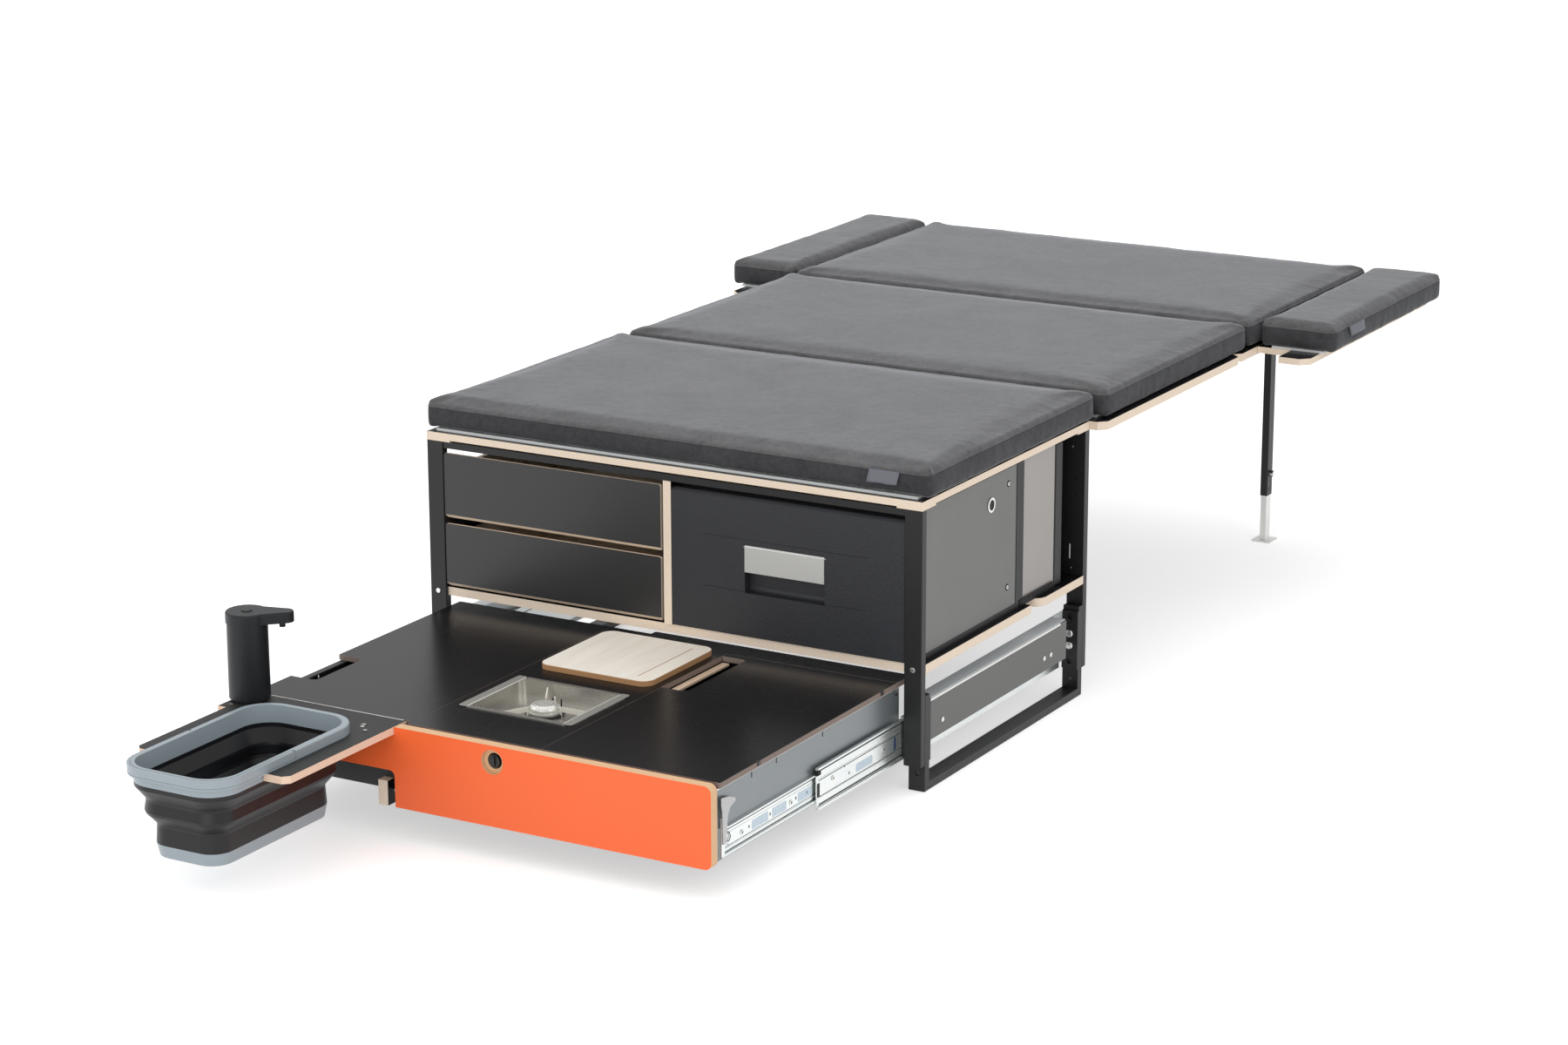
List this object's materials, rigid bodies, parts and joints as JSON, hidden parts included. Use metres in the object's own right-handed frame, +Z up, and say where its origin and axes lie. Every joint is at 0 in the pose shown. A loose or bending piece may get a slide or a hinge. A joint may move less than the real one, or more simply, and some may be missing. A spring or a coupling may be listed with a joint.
{
  "type": "camping box",
  "caption": "Steel-framed camping box for a van: pull-out kitchen with tap and folding bucket, drawers, drawer fridge and a cushioned bed that extends behind it on folding legs.",
  "frame": {"origin": "middle of the whole object's footprint, on the floor", "axes": "+X to the right seen from the kitchen end, +Y from the kitchen towards the head of the bed, +Z up"},
  "size_m": [1.3, 2.844, 0.544],
  "materials": {
    "black_steel": "black powder coat",
    "zinc_steel": "bright zinc plate",
    "bright_steel": "stainless",
    "film_ply": "black film-faced birch plywood with bare edges",
    "orange_ply": "orange laminate on birch plywood with bare edges",
    "birch_ply": "oiled birch plywood",
    "tray_steel": "blue-grey coated sheet steel",
    "stainless": "drawn stainless steel",
    "black_plastic": "matt black",
    "fridge_plastic": "fine-grained black",
    "fridge_steel": "smooth dark grey",
    "handle_metal": "satin silver",
    "bucket_grey": "satin blue-grey",
    "bucket_black": "soft black silicone",
    "mattress_fabric": "dark grey woven velour"
  },
  "bodies": {
    "frame": {"front_posts": "black_steel", "rear_posts": "black_steel", "top_rails": "black_steel", "foot_loops": "black_steel", "frame_bolts": "bright_steel", "beam_brackets": "black_steel", "slide_beams": "zinc_steel", "beam_covers": "black_steel", "slide_outer_members": "zinc_steel", "side_panels": "black_steel", "top_board": "film_ply", "first_mattress": "mattress_fabric", "shelf_board": "film_ply", "rear_shelf_board": "film_ply", "divider_board": "birch_ply", "drawer_runners": "zinc_steel", "fridge_cabinet": "fridge_steel", "fridge_cooler": "black_plastic"},
    "kitchen_slides": {"slide_middle_members": "zinc_steel"},
    "kitchen": {"slide_inner_members": "zinc_steel", "kitchen_tray": "tray_steel", "kitchen_front": "orange_ply", "left_lid": "film_ply", "centre_lid": "film_ply", "stove_tray": "stainless", "burner": "stainless", "pan_supports": "stainless", "flap_hinges": "bright_steel"},
    "right_lid": {"right_lid": "film_ply"},
    "cutting_board": {"cutting_board": "birch_ply"},
    "latch_knob": {"latch_knob": "black_plastic"},
    "gas_knob": {"gas_knob": "black_plastic"},
    "bucket_shelf": {"flap_board": "film_ply"},
    "bucket": {"bucket_rim": "bucket_grey", "bucket_bellows": "bucket_black", "bucket_base": "bucket_grey"},
    "bucket_handle": {"bucket_handle": "bucket_grey"},
    "tap": {"tap_body": "black_plastic"},
    "tap_button": {"tap_button": "black_plastic"},
    "upper_drawer": {"upper_drawer_front": "film_ply", "upper_drawer_box": "birch_ply"},
    "lower_drawer": {"lower_drawer_front": "film_ply", "lower_drawer_box": "birch_ply"},
    "fridge_drawer": {"fridge_door": "fridge_plastic", "fridge_bin": "fridge_plastic"},
    "fridge_handle": {"fridge_handle": "handle_metal"},
    "middle_section": {"middle_board": "film_ply", "middle_mattress": "mattress_fabric"},
    "head_section": {"head_board": "film_ply", "head_mattress": "mattress_fabric", "leg_brackets": "zinc_steel"},
    "left_wing": {"left_wing_board": "film_ply", "left_wing_cushion": "mattress_fabric"},
    "right_wing": {"right_wing_board": "film_ply", "right_wing_cushion": "mattress_fabric"},
    "legs": {"leg_frame": "black_steel"},
    "left_foot": {"left_leg_foot": "zinc_steel"},
    "right_foot": {"right_leg_foot": "zinc_steel"},
    "left_lock": {"left_lock_button": "black_plastic"},
    "right_lock": {"right_lock_button": "black_plastic"}
  },
  "joints": [
    {"name": "kitchen_slide", "type": "slide", "parent": "frame", "child": "kitchen", "axis": [0, 1, 0], "range_m": [0, 0.535]},
    {"name": "slide_follow", "type": "slide", "parent": "frame", "child": "kitchen_slides", "axis": [0, 1, 0], "range_m": [0, 0.2675]},
    {"name": "right_lid_lift", "type": "slide", "parent": "kitchen", "child": "right_lid", "axis": [0, 0, -1], "range_m": [-0.025, 0]},
    {"name": "cutting_board_lift", "type": "slide", "parent": "kitchen", "child": "cutting_board", "axis": [0, 0, -1], "range_m": [-0.02, 0]},
    {"name": "latch_turn", "type": "hinge", "parent": "kitchen", "child": "latch_knob", "pos_m": [0.032, -1.02, 0.16], "axis": [0, 1, 0], "range_deg": [0, 90]},
    {"name": "gas_knob_turn", "type": "hinge", "parent": "kitchen", "child": "gas_knob", "pos_m": [0.138, -0.621, 0.17], "axis": [0, 0, 1], "range_deg": [0, 180]},
    {"name": "bucket_shelf_fold", "type": "hinge", "parent": "kitchen", "child": "bucket_shelf", "pos_m": [-0.297, -0.994, 0.1854], "axis": [1, 0, 0], "range_deg": [-45, 0]},
    {"name": "bucket_lift", "type": "slide", "parent": "bucket_shelf", "child": "bucket", "axis": [0, 0, 1], "range_m": [0, 0.08]},
    {"name": "bucket_handle_swing", "type": "hinge", "parent": "bucket", "child": "bucket_handle", "pos_m": [-0.2905, -1.2395, 0.1965], "axis": [-1, 0, 0], "range_deg": [0, 90]},
    {"name": "tap_turn", "type": "hinge", "parent": "bucket_shelf", "child": "tap", "pos_m": [-0.436, -1.0245, 0.187], "axis": [0, 0, 1], "range_deg": [-105, 0]},
    {"name": "tap_button_press", "type": "slide", "parent": "tap", "child": "tap_button", "axis": [0, 0, -1], "range_m": [0, 0.0015], "stiffness_N_per_m": 300, "springref_m": -0.001},
    {"name": "upper_drawer_slide", "type": "slide", "parent": "frame", "child": "upper_drawer", "axis": [0, 1, 0], "range_m": [-0.3, 0]},
    {"name": "lower_drawer_slide", "type": "slide", "parent": "frame", "child": "lower_drawer", "axis": [0, 1, 0], "range_m": [-0.3, 0]},
    {"name": "fridge_drawer_slide", "type": "slide", "parent": "frame", "child": "fridge_drawer", "axis": [0, 1, 0], "range_m": [-0.285, 0]},
    {"name": "fridge_handle_tilt", "type": "hinge", "parent": "fridge_drawer", "child": "fridge_handle", "pos_m": [0.212, -0.4355, 0.373], "axis": [1, 0, 0], "range_deg": [-25, 0], "stiffness_Nm_per_rad": 0.3, "springref_deg": 17.19},
    {"name": "middle_section_pull", "type": "slide", "parent": "frame", "child": "middle_section", "axis": [0, 1, 0], "range_m": [0, 0.15]},
    {"name": "head_section_pull", "type": "slide", "parent": "middle_section", "child": "head_section", "axis": [0, 1, 0], "range_m": [0, 0.12]},
    {"name": "left_wing_pull", "type": "slide", "parent": "head_section", "child": "left_wing", "axis": [-1, 0, 0], "range_m": [0, 0.1]},
    {"name": "right_wing_pull", "type": "slide", "parent": "head_section", "child": "right_wing", "axis": [1, 0, 0], "range_m": [0, 0.1]},
    {"name": "legs_fold", "type": "hinge", "parent": "head_section", "child": "legs", "pos_m": [0, 1.253, 0.454], "axis": [1, 0, 0], "range_deg": [-90, 0]},
    {"name": "left_foot_telescope", "type": "slide", "parent": "legs", "child": "left_foot", "axis": [0, 0, 1], "range_m": [0, 0.06]},
    {"name": "right_foot_telescope", "type": "slide", "parent": "legs", "child": "right_foot", "axis": [0, 0, 1], "range_m": [0, 0.06]},
    {"name": "left_lock_pull", "type": "slide", "parent": "legs", "child": "left_lock", "axis": [-1, 0, 0], "range_m": [0, 0.004], "stiffness_N_per_m": 300, "springref_m": -0.002},
    {"name": "right_lock_pull", "type": "slide", "parent": "legs", "child": "right_lock", "axis": [1, 0, 0], "range_m": [0, 0.004], "stiffness_N_per_m": 300, "springref_m": -0.002}
  ],
  "couplings": [
    {"joint": "slide_follow", "follows": "kitchen_slide", "ratio": 0.5}
  ]
}
